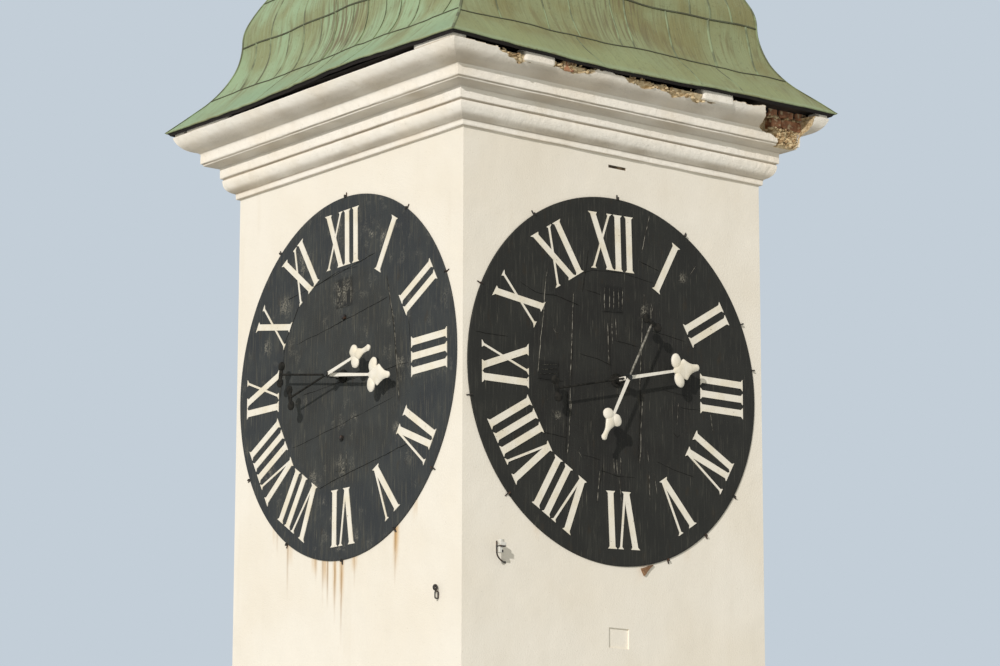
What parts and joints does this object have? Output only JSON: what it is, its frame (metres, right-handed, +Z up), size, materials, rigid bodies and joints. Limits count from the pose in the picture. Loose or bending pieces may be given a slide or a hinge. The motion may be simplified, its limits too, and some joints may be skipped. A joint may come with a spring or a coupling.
{
  "type": "clock tower",
  "caption": "Square white rendered clock tower with a moulded cornice, a bell-shaped patinated copper roof and a black round dial with turning hands on each side.",
  "frame": {"origin": "on the ground at the centre of the plan", "axes": "+Z up the tower, -Y out of the front dial, +X to the viewer's right when facing the front dial"},
  "size_m": [3.252, 3.252, 11.1199],
  "materials": {
    "white_render": "lime-washed cement render over brick",
    "moulded_plaster": "run plaster moulding, lime washed, weathered",
    "stone_paving": "dressed limestone",
    "door_timber": "oiled boards, weathered",
    "roof_timber": "rough sawn, darkened",
    "copper_sheet": "sheet copper with green patina",
    "black_dial": "sheet metal patches painted matt black",
    "white_numerals": "cream white paint on cut sheet",
    "painted_hand": "white paint on the pointer, black on the tail",
    "dark_iron": "wrought iron, dark",
    "white_fitting": "off-white enamel"
  },
  "bodies": {
    "tower": {"front_wall": "white_render", "left_wall": "white_render", "right_wall": "white_render", "back_wall": "white_render", "back_pier_left": "white_render", "back_pier_right": "white_render", "plinth": "white_render", "floor_slab": "stone_paving", "threshold": "stone_paving", "door_frame": "door_timber", "door_leaf": "door_timber", "door_ironwork": "dark_iron", "front_cornice": "moulded_plaster", "right_cornice": "moulded_plaster", "back_cornice": "moulded_plaster", "left_cornice": "moulded_plaster", "eave_blocks": "moulded_plaster", "eave_frame": "roof_timber", "roof_boarding": "roof_timber", "front_roof": "copper_sheet", "right_roof": "copper_sheet", "back_roof": "copper_sheet", "left_roof": "copper_sheet", "finial_base": "copper_sheet", "finial_ball": "copper_sheet", "finial_spike": "copper_sheet", "front_dial": "black_dial", "front_numerals": "white_numerals", "front_bush": "dark_iron", "right_dial": "black_dial", "right_numerals": "white_numerals", "right_bush": "dark_iron", "back_dial": "black_dial", "back_numerals": "white_numerals", "back_bush": "dark_iron", "left_dial": "black_dial", "left_numerals": "white_numerals", "left_bush": "dark_iron", "wall_bracket": "white_fitting", "wall_hook": "dark_iron"},
    "front_minute_hand": {"front_minute_hand": "painted_hand"},
    "front_hour_hand": {"front_hour_hand": "painted_hand"},
    "right_minute_hand": {"right_minute_hand": "painted_hand"},
    "right_hour_hand": {"right_hour_hand": "painted_hand"},
    "back_minute_hand": {"back_minute_hand": "painted_hand"},
    "back_hour_hand": {"back_hour_hand": "painted_hand"},
    "left_minute_hand": {"left_minute_hand": "painted_hand"},
    "left_hour_hand": {"left_hour_hand": "painted_hand"}
  },
  "joints": [
    {"name": "front_minute_turn", "type": "hinge", "parent": "tower", "child": "front_minute_hand", "pos_m": [-0.018, -1.25, 5.967], "axis": [0, 1, 0], "continuous": true},
    {"name": "front_hour_turn", "type": "hinge", "parent": "tower", "child": "front_hour_hand", "pos_m": [-0.018, -1.25, 5.967], "axis": [0, 1, 0], "continuous": true},
    {"name": "right_minute_turn", "type": "hinge", "parent": "tower", "child": "right_minute_hand", "pos_m": [1.25, 0, 6], "axis": [-1, 0, 0], "continuous": true},
    {"name": "right_hour_turn", "type": "hinge", "parent": "tower", "child": "right_hour_hand", "pos_m": [1.25, 0, 6], "axis": [-1, 0, 0], "continuous": true},
    {"name": "back_minute_turn", "type": "hinge", "parent": "tower", "child": "back_minute_hand", "pos_m": [0, 1.25, 6], "axis": [0, -1, 0], "continuous": true},
    {"name": "back_hour_turn", "type": "hinge", "parent": "tower", "child": "back_hour_hand", "pos_m": [0, 1.25, 6], "axis": [0, -1, 0], "continuous": true},
    {"name": "left_minute_turn", "type": "hinge", "parent": "tower", "child": "left_minute_hand", "pos_m": [-1.25, 0, 6.033], "axis": [1, 0, 0], "continuous": true},
    {"name": "left_hour_turn", "type": "hinge", "parent": "tower", "child": "left_hour_hand", "pos_m": [-1.25, 0, 6.033], "axis": [1, 0, 0], "continuous": true}
  ],
  "couplings": [
    {"joint": "front_hour_turn", "follows": "front_minute_turn", "ratio": 0.083333},
    {"joint": "right_minute_turn", "follows": "front_minute_turn", "ratio": 1},
    {"joint": "right_hour_turn", "follows": "front_minute_turn", "ratio": 0.083333},
    {"joint": "back_minute_turn", "follows": "front_minute_turn", "ratio": 1},
    {"joint": "back_hour_turn", "follows": "front_minute_turn", "ratio": 0.083333},
    {"joint": "left_minute_turn", "follows": "front_minute_turn", "ratio": 1},
    {"joint": "left_hour_turn", "follows": "front_minute_turn", "ratio": 0.083333}
  ]
}
